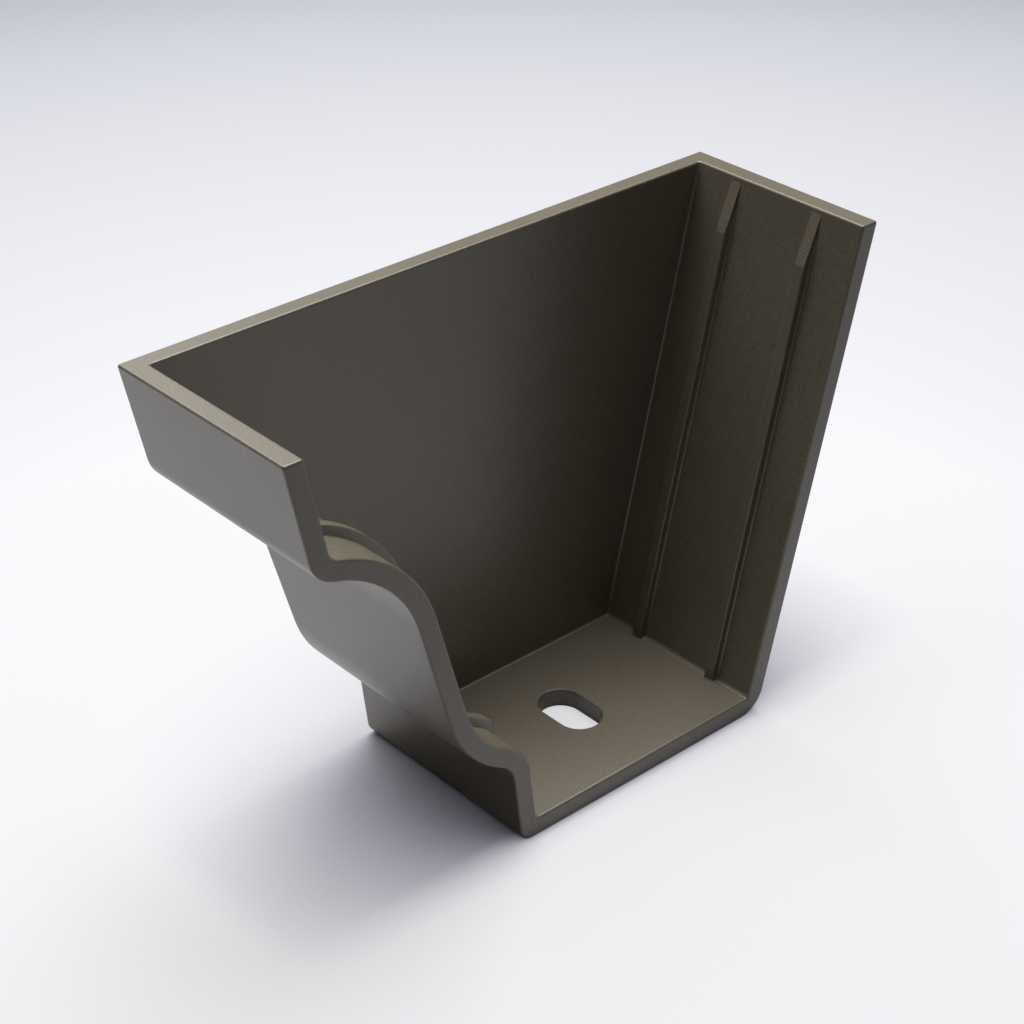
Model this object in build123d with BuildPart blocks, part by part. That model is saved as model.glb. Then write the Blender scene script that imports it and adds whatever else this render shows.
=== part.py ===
from build123d import *
import os
from math import atan2, cos, degrees, radians, sin, tan

# Gutter stop end: a one-piece casting that closes the end of an ogee gutter.
# X runs from the end wall to the open side, Y from the ogee front to the back wall, Z up.
# The origin lies on the floor, in the middle of the part's footprint box.

# Overall sizes, in millimetres
height = 100.0
rim_width = 138.0
length = 46.5
wall = 4.0
end_wall = 3.8
end_draft = 0.8

# Ogee front, from the rim down: angles are in degrees below level
fascia_drop = 23.5
fascia_angle = 78.6
nose_radius = 6.5
shelf_flat = 0.5
shelf_angle = 16.2
crown_radius = 24.3
flank_angle = 74.9
hollow_radius = 23.7
step_flat = 0.5
step_angle = 29.5
step_radius = 5.8
upstand_height = 18.4
upstand_angle = 83.5

# Sole, and the back wall that leans out from it to the rim
toe_radius = 3.0
sole_width = 64.0
heel_radius = 6.2

# Rounding inside the socket and on the free edges
toe_inside = 1.0
heel_inside = 1.0
least_radius = 0.3
corner_fillet = 0.5
edge_round = 0.5

# Sealing ribs that follow the inside of the section
rib_height = 1.8
rib_width = 2.4
rib_root = 1.0
rib_round = 0.3
rib_fillet = 0.4
first_rib = 9.2
rib_pitch = 20.9
rib_count = 2
rib_rim_gap = 1.0
rib_step_gap = 0.8
rib_ramp = 9.5

# Slotted bolt hole through the sole
slot_length = 14.7
slot_width = 9.2
slot_from_end = 25.0
slot_from_heel = 32.2
slot_round = 0.3


def heading(angle):
    """Unit vector towards the back wall, at an angle below level."""
    return Vector(cos(radians(angle)), -sin(radians(angle)))


def inward(angle):
    """Unit vector square to a heading, towards the inside of the socket."""
    return heading(angle - 90)


def tangent_length(radius, angle_in, angle_out):
    """Distance from a corner to where its bend begins."""
    return radius * tan(radians(abs(angle_out - angle_in) / 2))


# Corners of the outer face, from the front of the rim round to its back
shelf_length = (
    tangent_length(nose_radius, fascia_angle, shelf_angle)
    + shelf_flat
    + tangent_length(crown_radius, shelf_angle, flank_angle)
)
step_length = (
    tangent_length(hollow_radius, flank_angle, step_angle)
    + step_flat
    + tangent_length(step_radius, step_angle, upstand_angle)
)
rim_front = Vector(-rim_width / 2, height)
nose = rim_front + heading(fascia_angle) * (fascia_drop / sin(radians(fascia_angle)))
crown = nose + heading(shelf_angle) * shelf_length
hollow_height = upstand_height + step_length * sin(radians(step_angle))
hollow = crown + heading(flank_angle) * ((crown.Y - hollow_height) / sin(radians(flank_angle)))
step = hollow + heading(step_angle) * step_length
toe = step + heading(upstand_angle) * (upstand_height / sin(radians(upstand_angle)))
heel = toe + Vector(sole_width, 0)
rim_back = Vector(rim_width / 2, height)
back_angle = -degrees(atan2(rim_back.Y - heel.Y, rim_back.X - heel.X))

# Each bend: its corner, the angles into and out of it, and its radius outside and inside
bends = [
    (nose, fascia_angle, shelf_angle, nose_radius, nose_radius - wall),
    (crown, shelf_angle, flank_angle, crown_radius, crown_radius + wall),
    (hollow, flank_angle, step_angle, hollow_radius, hollow_radius - wall),
    (step, step_angle, upstand_angle, step_radius, step_radius + wall),
    (toe, upstand_angle, 0, toe_radius, toe_inside),
    (heel, 0, back_angle, heel_radius, heel_inside),
]


def rim_point(start, angle, depth, drop=0.0):
    """Point a drop below the rim, on a straight wall, at a depth under its outer face."""
    return start + Vector(depth / sin(radians(angle)) + drop / tan(radians(angle)), -drop)


def bend_corner(corner, angle_in, angle_out, depth):
    """Corner of the outline that runs at a depth under the outer face."""
    normals = inward(angle_in) + inward(angle_out)
    return corner + normals * (depth / (1 + inward(angle_in).dot(inward(angle_out))))


def bend_radius(angle_in, angle_out, inside, depth):
    """Radius at a depth near the inner face, where the radius has its inside value."""
    deeper = depth - wall if angle_out > angle_in else wall - depth
    return max(inside + deeper, least_radius)


def socket_face(depth):
    """Face bounded by the rim and the outline at a depth under the outer face."""
    with BuildSketch(mode=Mode.PRIVATE) as face:
        with BuildLine():
            front = rim_point(rim_front, fascia_angle, depth)
            back = rim_point(rim_back, back_angle, depth)
            corners = [bend_corner(corner, into, out, depth) for corner, into, out, _, _ in bends]
            radii = [
                bend_radius(into, out, inside, depth) if depth else outside
                for _, into, out, outside, inside in bends
            ]
            FilletPolyline(front, *corners, back, radius=radii)
            Line(back, front)
        make_face()
    return face.sketch


def rib_face():
    """Section of a rib: a strip up the inside of the front and of the back wall."""
    crest = wall + rib_height
    with BuildSketch(mode=Mode.PRIVATE) as face:
        add(socket_face(wall - rib_root))
        add(socket_face(crest), mode=Mode.SUBTRACT)
        # The front strip stops short of the upstand, and the sole between stays bare
        stop_foot = bend_corner(toe, upstand_angle, 0, wall) - Vector(rib_step_gap, 0)
        stop_top = stop_foot - heading(upstand_angle) * (upstand_height + wall)
        back_foot = bend_corner(heel, 0, back_angle, crest) + heading(back_angle) * rib_root
        back_top = back_foot + heading(back_angle) * (upstand_height + wall)
        below = Vector(0, -height)
        with BuildLine():
            Polyline(
                stop_top,
                stop_foot,
                stop_foot + below,
                back_foot + below,
                back_foot,
                back_top,
                close=True,
            )
        make_face(mode=Mode.SUBTRACT)
    return face.sketch


def run_out_face(rise, foot, end):
    """Section of a cut that lets what stands on the walls run out below the rim.

    It slopes from a rise above the wall, at a foot below the rim, to the wall at an end.
    """
    top = wall + rise
    with BuildSketch(mode=Mode.PRIVATE) as face:
        with BuildLine():
            Polyline(
                rim_point(rim_front, fascia_angle, wall, -rib_rim_gap),
                rim_point(rim_front, fascia_angle, wall, end),
                rim_point(rim_front, fascia_angle, top, foot),
                rim_point(rim_back, back_angle, top, foot),
                rim_point(rim_back, back_angle, wall, end),
                rim_point(rim_back, back_angle, wall, -rib_rim_gap),
                close=True,
            )
        make_face()
    return face.sketch


end_face = -length / 2

# Inner face of the end wall: it has draft, so the wall thickens from the rim to the sole
draft = radians(end_draft)
socket_end = Plane(
    origin=(end_face + end_wall, 0, height), x_dir=(0, 1, 0), z_dir=(cos(draft), 0, sin(draft))
)


def slab(section, start, end):
    """Solid of a section, from one distance off the socket's end to another."""
    with BuildPart(mode=Mode.PRIVATE) as body:
        with BuildSketch(Plane.YZ.offset(end_face)):
            add(section)
        extrude(amount=2 * length)
        split(bisect_by=socket_end.offset(start), keep=Keep.TOP)
        split(bisect_by=socket_end.offset(end), keep=Keep.BOTTOM)
    return body.part


with BuildPart() as socket:
    with BuildSketch(Plane.YZ.offset(end_face)):
        add(socket_face(wall))
    extrude(amount=2 * length)
    split(bisect_by=socket_end, keep=Keep.TOP)

with BuildPart() as stop_end:
    with BuildSketch(Plane.YZ.offset(end_face)):
        add(socket_face(0))
    extrude(amount=length)
    add(socket.part, mode=Mode.SUBTRACT)
    socket_floor = stop_end.faces().filter_by(socket_end)[0]
    floor_edges = [edge for edge in socket_floor.edges() if edge.center().Z < height - edge_round]
    fillet(floor_edges, radius=corner_fillet)

    # Sealing ribs, parallel to the socket's end, with round crests and filleted roots
    rib_starts = [first_rib + index * rib_pitch for index in range(rib_count)]
    for start in rib_starts:
        rib = slab(rib_face(), start, start + rib_width)
        crest_edges = [
            edge
            for edge in rib.edges()
            if edge.length > rib_width + rib_round
            and stop_end.part.distance_to(edge.center()) > rib_height - rib_round
        ]
        add(rib.fillet(rib_round, crest_edges))
        root_edges = [
            edge for edge in stop_end.edges(Select.NEW) if edge.center().Z < height - edge_round
        ]
        fillet(root_edges, radius=rib_fillet)

    # The ribs run out on a ramp below the rim, and their root fillets run out before them
    rib_cut = run_out_face(rib_height, rib_rim_gap + rib_ramp, rib_rim_gap)
    root_cut = run_out_face(2 * rib_fillet, rib_rim_gap + rib_ramp, rib_rim_gap + rib_ramp / 2)
    for start in rib_starts:
        end = start + rib_width
        add(slab(rib_cut, start, end), mode=Mode.SUBTRACT)
        add(slab(root_cut, start - rib_width, start), mode=Mode.SUBTRACT)
        add(slab(root_cut, end, end + rib_width), mode=Mode.SUBTRACT)

    # Bolt slot through the sole
    slot_middle = (end_face + slot_from_end, heel.X - slot_from_heel)
    with BuildSketch(Plane.XY):
        with Locations(slot_middle):
            SlotOverall(slot_length, slot_width)
    extrude(amount=wall, mode=Mode.SUBTRACT)
    fillet(stop_end.edges(Select.LAST).group_by(Axis.Z)[-1], radius=slot_round)

    # Free edges of the rim, the open side and the end wall
    rim_edges = stop_end.faces().sort_by(Axis.Z)[-1].edges()
    open_edges = stop_end.faces().sort_by(Axis.X)[-1].edges()
    end_edges = stop_end.faces().sort_by(Axis.X)[0].edges()
    fillet(list(set(rim_edges + open_edges + end_edges)), radius=edge_round)

stop_end.part.label = "stop_end"

os.makedirs("parts", exist_ok=True)
export_step(stop_end.part, "parts/stop_end.step")
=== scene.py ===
"""Dressed scene of a cast gutter stop end that stands on a pale studio floor.

The casting is a merged, smooth-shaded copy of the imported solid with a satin
powder coat. A floor, soft lamps and a camera make the plain studio around it.
"""

import logging
import math
from dataclasses import dataclass
from enum import Enum
from typing import Any, Union

import bpy
from mathutils import Matrix, Vector


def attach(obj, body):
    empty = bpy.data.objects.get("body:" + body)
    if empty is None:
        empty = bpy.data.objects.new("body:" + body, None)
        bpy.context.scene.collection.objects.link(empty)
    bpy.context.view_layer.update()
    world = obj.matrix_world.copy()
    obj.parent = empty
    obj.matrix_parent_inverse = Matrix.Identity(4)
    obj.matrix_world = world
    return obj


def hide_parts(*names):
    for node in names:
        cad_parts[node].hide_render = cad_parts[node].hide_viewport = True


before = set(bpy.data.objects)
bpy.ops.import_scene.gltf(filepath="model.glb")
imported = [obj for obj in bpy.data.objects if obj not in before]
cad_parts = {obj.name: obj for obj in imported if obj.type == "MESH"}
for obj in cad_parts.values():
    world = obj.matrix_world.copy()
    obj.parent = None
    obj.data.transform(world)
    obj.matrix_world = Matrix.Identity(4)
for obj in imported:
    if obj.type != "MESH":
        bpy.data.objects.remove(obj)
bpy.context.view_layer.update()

log = logging.getLogger("stop_end")

Number = Union[int, float]
Colour = tuple[float, float, float, float]
Place = tuple[float, float, float]
Stops = tuple[tuple[float, Colour], ...]

BLACK: Colour = (0.0, 0.0, 0.0, 1.0)
WHITE: Colour = (1.0, 1.0, 1.0, 1.0)
ORIGIN: Place = (0.0, 0.0, 0.0)


class Ray(Enum):
    """Kinds of light path that see the studio apart from the light it throws back."""

    CAMERA = "Is Camera Ray"
    GLOSSY = "Is Glossy Ray"


def linear(red: Number, green: Number, blue: Number) -> Colour:
    """Turns a colour picked from 0 to 255 into the linear values that a shader takes.

    Args:
        red: Red, from 0 to 255.
        green: Green, from 0 to 255.
        blue: Blue, from 0 to 255.

    Returns:
        Linear red, green, blue and an alpha of one.
    """

    def channel(value: Number) -> float:
        """Linear value of one channel."""
        share = value / 255
        return share / 12.92 if share <= 0.04045 else ((share + 0.055) / 1.055) ** 2.4

    return channel(red), channel(green), channel(blue), 1.0


def grey(value: float) -> Colour:
    """Grey of one linear value."""
    return value, value, value, 1.0


def select_only(piece: bpy.types.Object) -> None:
    """Deselects everything, then selects one object and makes it active.

    Args:
        piece: The object that the next operators act on.
    """
    bpy.ops.object.select_all(action="DESELECT")
    piece.select_set(True)
    bpy.context.view_layer.objects.active = piece


class Signal:
    """A number that varies over a surface, usable in plain expressions."""

    def __init__(self, board: "NodeBoard", socket: bpy.types.NodeSocket) -> None:
        """Wraps an output socket of a node on a board."""
        self.board = board
        self.socket = socket

    def _join(self, operation: str, first: Any, second: Any) -> "Signal":
        """Adds one Math node.

        Args:
            operation: Name of the Math node's operation.
            first: Signal or number for the first socket.
            second: Signal or number for the second socket.

        Returns:
            The node's result.
        """
        made = self.board.node("ShaderNodeMath", {"operation": operation}, {0: first, 1: second})
        return Signal(self.board, made.outputs[0])

    def __add__(self, other: Any) -> "Signal":
        """Sum."""
        return self._join("ADD", self, other)

    def __radd__(self, other: Any) -> "Signal":
        """Sum, reflected."""
        return self._join("ADD", other, self)

    def __sub__(self, other: Any) -> "Signal":
        """Difference."""
        return self._join("SUBTRACT", self, other)

    def __rsub__(self, other: Any) -> "Signal":
        """Difference, reflected."""
        return self._join("SUBTRACT", other, self)

    def __mul__(self, other: Any) -> "Signal":
        """Product."""
        return self._join("MULTIPLY", self, other)

    def __rmul__(self, other: Any) -> "Signal":
        """Product, reflected."""
        return self._join("MULTIPLY", other, self)

    def below(self, limit: Any) -> "Signal":
        """One where the signal is less than a limit, and zero elsewhere."""
        return self._join("LESS_THAN", self, limit)


class NodeBoard:
    """Node tree of one material or world, filled node by node."""

    def __init__(self, tree: bpy.types.NodeTree) -> None:
        """Empties the tree, so that it holds only what is added here."""
        tree.nodes.clear()
        self.tree = tree

    def node(self, kind: str, settings: dict[str, Any], sockets: dict[Any, Any]) -> bpy.types.Node:
        """Adds a node, gives it its settings first and then its sockets' values or links.

        Args:
            kind: Blender's type name of the node.
            settings: Attribute values; "stops" holds a colour ramp's places and colours.
            sockets: Socket name or index to a number, colour, signal or output socket.

        Returns:
            The new node.
        """
        made = self.tree.nodes.new(kind)
        for name, value in settings.items():
            if name == "stops":
                self._set_stops(made.color_ramp, value)
            else:
                setattr(made, name, value)
        for name, value in sockets.items():
            source = value.socket if isinstance(value, Signal) else value
            if isinstance(source, bpy.types.NodeSocket):
                self.tree.links.new(source, made.inputs[name])
            else:
                made.inputs[name].default_value = source
        return made

    @staticmethod
    def _set_stops(ramp: bpy.types.ColorRamp, stops: Stops) -> None:
        """Fills a colour ramp with places and colours.

        Args:
            ramp: The new ramp, which has two stops.
            stops: Places from low to high, and the colour at each.
        """
        while len(ramp.elements) < len(stops):
            ramp.elements.new(1.0)
        for element, (place, colour) in zip(ramp.elements, stops):
            element.position = place
            element.color = colour

    def signal(self, node: bpy.types.Node, output: Any = 0) -> Signal:
        """Wraps one output of a node as a signal."""
        return Signal(self, node.outputs[output])

    def object_place(self) -> bpy.types.NodeSocket:
        """Place on the piece's own object, in metres."""
        return self.node("ShaderNodeTexCoord", {}, {}).outputs["Object"]

    def along_x(self, place: bpy.types.NodeSocket) -> Signal:
        """Part of a place that lies along X, in metres."""
        return self.signal(self.node("ShaderNodeSeparateXYZ", {}, {0: place}), "X")

    def distance(self, place: bpy.types.NodeSocket, middle: Place) -> Signal:
        """Distance of a place from a middle, in metres."""
        made = self.node("ShaderNodeVectorMath", {"operation": "DISTANCE"}, {0: place, 1: middle})
        return self.signal(made, "Value")

    def noise(self, place: bpy.types.NodeSocket, scale: float, detail: float) -> Signal:
        """Noise with values around zero.

        Args:
            place: Vector socket that the noise follows.
            scale: Features per metre.
            detail: Number of finer layers.

        Returns:
            The noise as a signal, from minus one half to one half.
        """
        made = self.node(
            "ShaderNodeTexNoise", {}, {"Vector": place, "Scale": scale, "Detail": detail}
        )
        return self.signal(made, "Fac") - 0.5

    def mix(self, mask: Any, low: Any, high: Any) -> bpy.types.NodeSocket:
        """Colour between two colours.

        Args:
            mask: Signal or number, from zero for low to one for high.
            low: Colour or colour socket at zero.
            high: Colour or colour socket at one.

        Returns:
            The mixed colour's socket.
        """
        made = self.node(
            "ShaderNodeMix", {"data_type": "RGBA", "clamp_factor": True}, {0: mask, 6: low, 7: high}
        )
        return made.outputs[2]

    def ramp(self, value: Signal, stops: Stops) -> bpy.types.NodeSocket:
        """Colour that changes with a value, even between one stop and the next.

        Args:
            value: The value.
            stops: Values from low to high, and the colour at each.

        Returns:
            Socket of the colour.
        """
        low, high = stops[0][0], stops[-1][0]
        share = (value - low) * (1.0 / (high - low))
        shares = tuple(((place - low) / (high - low), colour) for place, colour in stops)
        made = self.node("ShaderNodeValToRGB", {"stops": shares}, {"Fac": share})
        return made.outputs["Color"]

    def product(self, first: Any, second: Any) -> bpy.types.NodeSocket:
        """Two colours multiplied, channel by channel."""
        made = self.node("ShaderNodeVectorMath", {"operation": "MULTIPLY"}, {0: first, 1: second})
        return made.outputs[0]

    def matt(self, colour: Any, glow: Any = BLACK) -> bpy.types.Node:
        """Shader without any gloss.

        Args:
            colour: Colour or colour socket that the lamps light.
            glow: Colour or colour socket that shows without lamps.

        Returns:
            The shader's node.
        """
        return self.node(
            "ShaderNodeBsdfPrincipled",
            {},
            {
                "Base Color": colour,
                "Roughness": 1.0,
                "Specular IOR Level": 0.0,
                "Emission Color": glow,
                "Emission Strength": 1.0,
            },
        )

    def mix_shader(self, mask: Any, low: bpy.types.Node, high: bpy.types.Node) -> bpy.types.Node:
        """Shader between two shaders.

        Args:
            mask: Signal or number, from zero for low to one for high.
            low: Shader's node at zero.
            high: Shader's node at one.

        Returns:
            The mixed shader's node.
        """
        ends = {0: mask, 1: low.outputs[0], 2: high.outputs[0]}
        return self.node("ShaderNodeMixShader", {}, ends)

    def is_ray(self, ray: Ray) -> Signal:
        """One on a light path of one kind, and zero on any other."""
        return self.signal(self.node("ShaderNodeLightPath", {}, {}), ray.value)


@dataclass(frozen=True)
class PowderCoat:
    """Satin powder coat, dark bronze grey, with a fine even texture.

    Attributes:
        deep: Colour in the hollows of the grain.
        light: Colour on its tops.
        drift_scale: Slow changes of tone in each metre.
        drift_detail: Number of their finer layers.
        drift_tone: How far they shift the tone between deep and light.
        drift_gloss: How far they change the roughness.
        grain_scale: Grains in each metre.
        grain_detail: Number of their finer layers.
        grain_tone: How far they shift the tone between deep and light.
        grain_gloss: How far they change the roughness.
        grain_depth: Height of the grain in metres.
        swell_scale: Low waves of the coat in each metre.
        swell_detail: Number of their finer layers.
        swell_depth: Height of the waves in metres.
        roughness: Roughness of the coat on average.
        index: Index of refraction, which sets how strong the gloss is.
    """

    deep: Colour = linear(116, 107, 91)
    light: Colour = linear(132, 123, 106)
    drift_scale: float = 38.0
    drift_detail: float = 3.0
    drift_tone: float = 0.6
    drift_gloss: float = 0.06
    grain_scale: float = 2000.0
    grain_detail: float = 2.0
    grain_tone: float = 3.2
    grain_gloss: float = 0.10
    grain_depth: float = 0.00003
    swell_scale: float = 420.0
    swell_detail: float = 1.0
    swell_depth: float = 0.00001
    roughness: float = 0.38
    index: float = 1.85

    def material(self) -> bpy.types.Material:
        """Builds the coat's shader.

        Returns:
            The material, which follows the piece's own place.
        """
        made = bpy.data.materials.new("powder_coat")
        made.use_nodes = True
        board = NodeBoard(made.node_tree)
        place = board.object_place()
        drift = board.noise(place, self.drift_scale, self.drift_detail)
        grain = board.noise(place, self.grain_scale, self.grain_detail)
        swell = board.noise(place, self.swell_scale, self.swell_detail)
        tone = drift * self.drift_tone + grain * self.grain_tone + 0.5
        colour = board.mix(tone, self.deep, self.light)
        gloss = self.roughness + grain * self.grain_gloss + drift * self.drift_gloss
        height = grain * self.grain_depth + swell * self.swell_depth
        bump = board.node(
            "ShaderNodeBump", {}, {"Strength": 1.0, "Distance": 1.0, "Height": height}
        )
        shader = board.node(
            "ShaderNodeBsdfPrincipled",
            {},
            {
                "Base Color": colour,
                "Roughness": gloss,
                "IOR": self.index,
                "Normal": bump.outputs["Normal"],
            },
        )
        board.node("ShaderNodeOutputMaterial", {}, {"Surface": shader.outputs["BSDF"]})
        return made


@dataclass(frozen=True)
class FloorPaint:
    """Matt pale floor, near white round the casting and cooler grey far from it, as a painted pool
    of light; it also holds a painted shadow of the casting and a painted reflection tone.

    Attributes:
        tones: Distance from the casting in metres, and the floor's tone there, painted as a pool of
            light that falls off away from the casting.
        cover: Distance in metres over which the casting covers the floor, for the painted shadow.
        cover_samples: Rays that look for the casting from each place.
        cover_depth: Depth of the shadow for each covered share of the sky.
        clearing: Place along X, and how far the painted shadow is lifted there.
        shadow: Depth of the shadow, and the tint of the glow there.
        glow: Share of the tone that shows without lamps.
        slot: Middle of the sole's slot.
        slot_reach: Distance from that middle over which the painted shadow is left off, so that the
            floor there is painted bright.
        painted_reflection: Place along X, and the floor's painted reflection tone in the casting's
            gloss there, darker towards +X.
        corner: Middle of the painted shade on the floor under the ogee front, which shows only in
            the casting's gloss.
        corner_shade: Distance from that middle, and the tint of the painted reflection tone there.
        bounce: Tone for the light that the floor throws back.
    """

    tones: Stops = (
        (0.15, linear(246, 246, 249)),
        (0.20, linear(238, 238, 243)),
        (0.29, linear(228, 229, 234)),
        (0.36, linear(219, 220, 226)),
        (0.43, linear(206, 208, 215)),
        (0.495, linear(187, 190, 197)),
        (0.60, linear(160, 163, 171)),
    )
    cover: float = 0.05
    cover_samples: int = 6
    cover_depth: float = 1.6
    clearing: Stops = ((-0.035, grey(0.45)), (-0.02, BLACK), (0.019, BLACK), (0.029, WHITE))
    shadow: Stops = (
        (0.0, WHITE),
        (0.6, (0.4, 0.41, 0.49, 1.0)),
        (1.0, (0.004, 0.004, 0.012, 1.0)),
    )
    glow: float = 0.6
    slot: Place = (0.00175, 0.01119, 0.0)
    slot_reach: float = 0.018
    painted_reflection: Stops = (
        (-0.03, (0.97, 0.955, 1.0, 1.0)),
        (0.035, (0.97, 0.955, 0.975, 1.0)),
        (0.085, (0.67, 0.66, 0.66, 1.0)),
    )
    corner: Place = (-0.005, -0.029, 0.0)
    corner_shade: Stops = ((0.009, grey(0.4)), (0.026, WHITE))
    bounce: Colour = (0.1, 0.1, 0.11, 1.0)

    def material(self) -> bpy.types.Material:
        """Builds the floor's shader.

        Returns:
            The material, whose tone is painted to fall off with the distance from the casting, as a
            pool of light.
        """
        made = bpy.data.materials.new("floor_paint")
        made.use_nodes = True
        board = NodeBoard(made.node_tree)
        place = board.object_place()
        # Painted pool of light: the floor's tone is near white round the casting and falls off to
        # cooler grey away from it.
        pale = board.ramp(board.distance(place, ORIGIN), self.tones)
        # The glow carries the painted shadow of the casting.
        glowing = board.product(pale, self._shade(board, place))
        view = board.mix_shader(self.glow, board.matt(pale), board.matt(BLACK, glowing))
        # Painted reflection: the casting's gloss sees its own floor tone, darker towards +X and
        # under the ogee front; diffuse rays see the bounce tone.
        painted_reflection = self._painted_reflection_tone(board, place)
        thrown = board.mix(board.is_ray(Ray.GLOSSY), self.bounce, painted_reflection)
        both = board.mix_shader(board.is_ray(Ray.CAMERA), board.matt(thrown), view)
        board.node("ShaderNodeOutputMaterial", {}, {"Surface": both.outputs[0]})
        return made

    def _painted_reflection_tone(
        self, board: NodeBoard, place: bpy.types.NodeSocket
    ) -> bpy.types.NodeSocket:
        """Painted reflection: tone of the floor in the casting's gloss, darker towards +X and in
        the painted shade under the ogee front.

        Args:
            board: Board of the floor's material.
            place: Place on the floor.

        Returns:
            Socket of the tone.
        """
        # Painted shade on the floor under the ogee front, seen only in the casting's gloss.
        dim = board.ramp(board.distance(place, self.corner), self.corner_shade)
        return board.product(board.ramp(board.along_x(place), self.painted_reflection), dim)

    def _shade(self, board: NodeBoard, place: bpy.types.NodeSocket) -> bpy.types.NodeSocket:
        """Painted shadow: tint of the glow, dim and cool where the casting covers the floor, lifted
        by place along X and left off under the slot.

        Args:
            board: Board of the floor's material.
            place: Place on the floor.

        Returns:
            Socket of the tint.
        """
        cover = board.node(
            "ShaderNodeAmbientOcclusion", {"samples": self.cover_samples}, {"Distance": self.cover}
        )
        # The painted shadow is lifted by place along X: fully beyond the open end, partly beyond
        # the end wall.
        cleared = board.ramp(board.along_x(place), self.clearing)
        clear = board.node("ShaderNodeRGBToBW", {}, {0: cleared})
        covered = (1.0 - board.signal(cover, "AO")) * (1.0 - board.signal(clear))
        shade = board.ramp(covered * self.cover_depth, self.shadow)
        # The floor under the sole's slot is painted bright, as if lit through the slot.
        in_slot = board.distance(place, self.slot).below(self.slot_reach)
        return board.mix(in_slot, shade, WHITE)


@dataclass
class StopEndCasting:
    """The one-piece casting: end wall, ogee front, back wall, sole and sealing ribs.

    Attributes:
        solid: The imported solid.
        coat: Finish of the casting.
        weld_gap: Corners of triangles closer than this are one corner.
        flat_deg: Triangles that meet at less than this lie in one flat face.
        crease_deg: Edges that turn by more than this stay sharp.
        edge_ease: Width of the ease on sharp edges.
        ease_steps: Faces across that ease.
        face_weight: Pull of large faces on the shading beside them.
        ramp_band: Lowest and highest middle of the ribs' ramps, along Z.
        ramp_area: Smallest and largest area of a ramp, in square metres.
    """

    solid: bpy.types.Object
    coat: PowderCoat
    weld_gap: float = 0.000002
    flat_deg: float = 0.4
    crease_deg: float = 40.0
    edge_ease: float = 0.00025
    ease_steps: int = 2
    face_weight: int = 100
    ramp_band: tuple[float, float] = (0.088, 0.093)
    ramp_area: tuple[float, float] = (0.00002, 0.00003)

    def build(self) -> bpy.types.Object:
        """Makes the dressed casting.

        Returns:
            The finished piece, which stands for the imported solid.
        """
        piece = self._copy_solid()
        self._weld(piece)
        self._ease_edges(piece)
        self._shade(piece)
        self._dress(piece)
        return piece

    def _copy_solid(self) -> bpy.types.Object:
        """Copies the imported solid's mesh into a new object at the origin.

        Returns:
            The copy, as loose triangles.
        """
        piece = bpy.data.objects.new("stop_end_casting", self.solid.data.copy())
        bpy.context.scene.collection.objects.link(piece)
        return piece

    def _weld(self, piece: bpy.types.Object) -> None:
        """Merges the copy's loose triangles into one closed skin.

        Args:
            piece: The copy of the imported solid.
        """
        select_only(piece)
        bpy.ops.object.mode_set(mode="EDIT")
        bpy.ops.mesh.select_all(action="SELECT")
        bpy.ops.mesh.remove_doubles(threshold=self.weld_gap)
        bpy.ops.object.mode_set(mode="OBJECT")
        if piece.data.has_custom_normals:
            bpy.ops.mesh.customdata_custom_splitnormals_clear()

    def _ease_edges(self, piece: bpy.types.Object) -> None:
        """Joins the flat triangles and takes the sharpness off the creases.

        Args:
            piece: The merged casting.
        """
        select_only(piece)
        bpy.ops.object.mode_set(mode="EDIT")
        bpy.ops.mesh.select_all(action="SELECT")
        bpy.ops.mesh.dissolve_limited(angle_limit=math.radians(self.flat_deg))
        bpy.ops.object.mode_set(mode="OBJECT")
        bpy.ops.object.modifier_add(type="BEVEL")
        easing = piece.modifiers[-1]
        easing.limit_method = "ANGLE"
        easing.angle_limit = math.radians(self.crease_deg)
        easing.width = self.edge_ease
        easing.segments = self.ease_steps
        easing.use_clamp_overlap = True
        bpy.ops.object.modifier_apply(modifier=easing.name)

    def _shade(self, piece: bpy.types.Object) -> None:
        """Smooths the bends and keeps the flat walls flat.

        Args:
            piece: The merged casting.
        """
        select_only(piece)
        bpy.ops.object.shade_smooth_by_angle(angle=math.radians(self.crease_deg))
        self._sharpen_ramps(piece)
        bpy.ops.object.modifier_add(type="WEIGHTED_NORMAL")
        weighting = piece.modifiers[-1]
        weighting.keep_sharp = True
        weighting.weight = self.face_weight
        bpy.ops.object.modifier_apply(modifier=weighting.name)

    def _sharpen_ramps(self, piece: bpy.types.Object) -> None:
        """Keeps the borders of the ramps, on which the ribs run out, as crisp lines.

        Args:
            piece: The smooth-shaded casting.
        """
        low, high = self.ramp_band
        small, large = self.ramp_area
        for face in piece.data.polygons:
            if low < face.center.z < high and small < face.area < large:
                for index in face.loop_indices:
                    piece.data.edges[piece.data.loops[index].edge_index].use_edge_sharp = True

    def _dress(self, piece: bpy.types.Object) -> None:
        """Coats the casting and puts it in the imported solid's place.

        Args:
            piece: The finished casting.
        """
        piece.data.materials.clear()
        piece.data.materials.append(self.coat.material())
        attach(piece, "root")
        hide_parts("stop_end")


@dataclass
class StudioFloor:
    """Wide pale floor under the casting."""

    paint: FloorPaint
    radius: float = 5.0
    sides: int = 96

    def build(self) -> bpy.types.Object:
        """Makes the floor.

        Returns:
            The floor, which isn't part of the object.
        """
        bpy.ops.object.select_all(action="DESELECT")
        bpy.ops.mesh.primitive_circle_add(
            vertices=self.sides, radius=self.radius, fill_type="NGON", location=ORIGIN
        )
        floor = bpy.context.active_object
        floor.name = "studio_floor"
        floor.data.materials.append(self.paint.material())
        return floor


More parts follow.
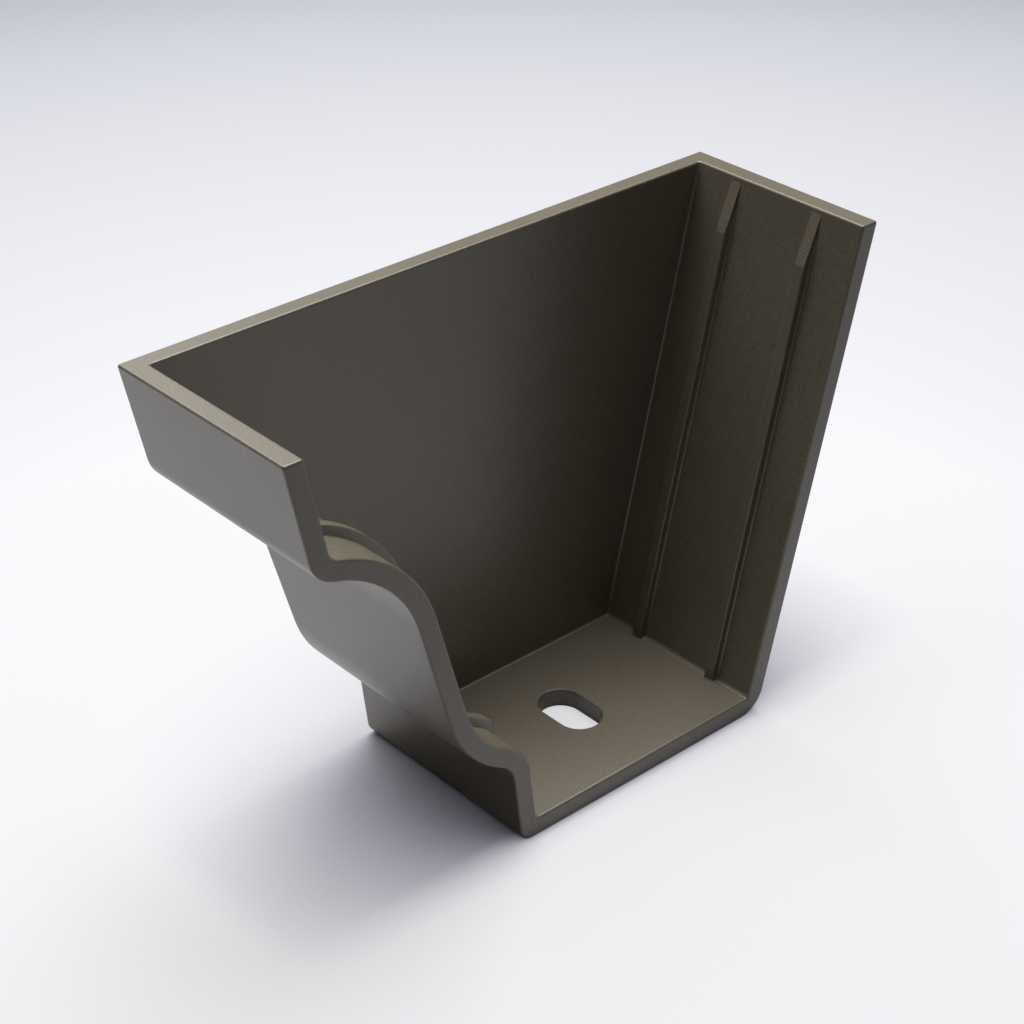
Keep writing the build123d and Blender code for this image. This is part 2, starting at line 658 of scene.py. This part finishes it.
@dataclass(frozen=True)
class SoftLamp:
    """Square white area lamp that faces the middle of the casting."""

    name: str
    place: Place
    size: float
    power: float
    target: Place = (0.0, 0.0, 0.05)

    def build(self) -> bpy.types.Object:
        """Makes the lamp.

        Returns:
            The lamp's object, turned towards its target.
        """
        data = bpy.data.lights.new(self.name, "AREA")
        data.shape = "SQUARE"
        data.size = self.size
        data.energy = self.power
        lamp = bpy.data.objects.new(self.name, data)
        bpy.context.scene.collection.objects.link(lamp)
        lamp.location = self.place
        aim = Vector(self.target) - Vector(self.place)
        lamp.rotation_euler = aim.to_track_quat("-Z", "Y").to_euler()
        return lamp


@dataclass(frozen=True)
class StudioAir:
    """The world round the floor: a pale view for the camera, which lights nothing."""

    view: Colour = linear(160, 163, 171)

    def build(self) -> bpy.types.World:
        """Makes the world.

        Returns:
            The scene's world.
        """
        world = bpy.data.worlds.new("studio_air")
        world.use_nodes = True
        bpy.context.scene.world = world
        board = NodeBoard(world.node_tree)
        dark = board.node("ShaderNodeBackground", {}, {"Color": BLACK, "Strength": 1.0})
        seen = board.node("ShaderNodeBackground", {}, {"Color": self.view, "Strength": 1.0})
        both = board.mix_shader(board.is_ray(Ray.CAMERA), dark, seen)
        board.node("ShaderNodeOutputWorld", {}, {"Surface": both.outputs[0]})
        return world


@dataclass(frozen=True)
class PhotoCamera:
    """Camera that looks down at the open side and the ogee front.

    Attributes:
        place: Place of the lens in metres.
        heading_deg: Direction of the view over the floor, from X towards Y.
        dip_deg: Angle of the view below level.
        roll_deg: Turn of the picture about the view.
        lens_mm: Focal length.
        sensor_mm: Width of the sensor.
        near: Nearest distance that shows.
        far: Farthest distance that shows.
    """

    place: Place = (0.27405, -0.2414, 0.2744)
    heading_deg: float = 138.89
    dip_deg: float = 31.13
    roll_deg: float = -0.5
    lens_mm: float = 80.22
    sensor_mm: float = 36.0
    near: float = 0.01
    far: float = 50.0

    def build(self) -> bpy.types.Object:
        """Makes the camera and gives it to the scene.

        Returns:
            The camera's object.
        """
        heading = math.radians(self.heading_deg)
        dip = math.radians(self.dip_deg)
        roll = math.radians(self.roll_deg)
        ahead = Vector(
            (
                math.cos(heading) * math.cos(dip),
                math.sin(heading) * math.cos(dip),
                -math.sin(dip),
            )
        )
        beside = Vector((math.sin(heading), -math.cos(heading), 0.0))
        above = beside.cross(ahead)
        across = beside * math.cos(roll) + above * math.sin(roll)
        upward = above * math.cos(roll) - beside * math.sin(roll)
        data = bpy.data.cameras.new("studio_camera")
        data.lens = self.lens_mm
        data.sensor_width = self.sensor_mm
        data.clip_start = self.near
        data.clip_end = self.far
        camera = bpy.data.objects.new("studio_camera", data)
        bpy.context.scene.collection.objects.link(camera)
        turned = Matrix((across, upward, -ahead)).transposed().to_4x4()
        camera.matrix_world = Matrix.Translation(self.place) @ turned
        bpy.context.scene.camera = camera
        return camera


def main() -> None:
    """Builds the casting and the studio in order, and reports each piece."""
    logging.basicConfig(level=logging.INFO, format="%(message)s")
    casting = StopEndCasting(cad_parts["stop_end"], PowderCoat()).build()
    log.info("%s: %d faces", casting.name, len(casting.data.polygons))
    floor = StudioFloor(FloorPaint()).build()
    log.info("%s: stage", floor.name)
    lamps = [
        SoftLamp("back_lamp", (-0.218, 0.300, 1.191), size=0.8, power=14.1),
        SoftLamp("low_lamp", (-0.905, 0.160, 0.821), size=0.7, power=3.5),
        SoftLamp("side_lamp", (-0.487, -0.487, 1.033), size=0.7, power=2.5),
    ]
    for lamp in lamps:
        log.info("%s: lamp", lamp.build().name)
    StudioAir().build()
    camera = PhotoCamera().build()
    log.info("%s: camera", camera.name)
    bpy.context.scene.view_settings.view_transform = "Standard"


if __name__ == "__main__":
    main()
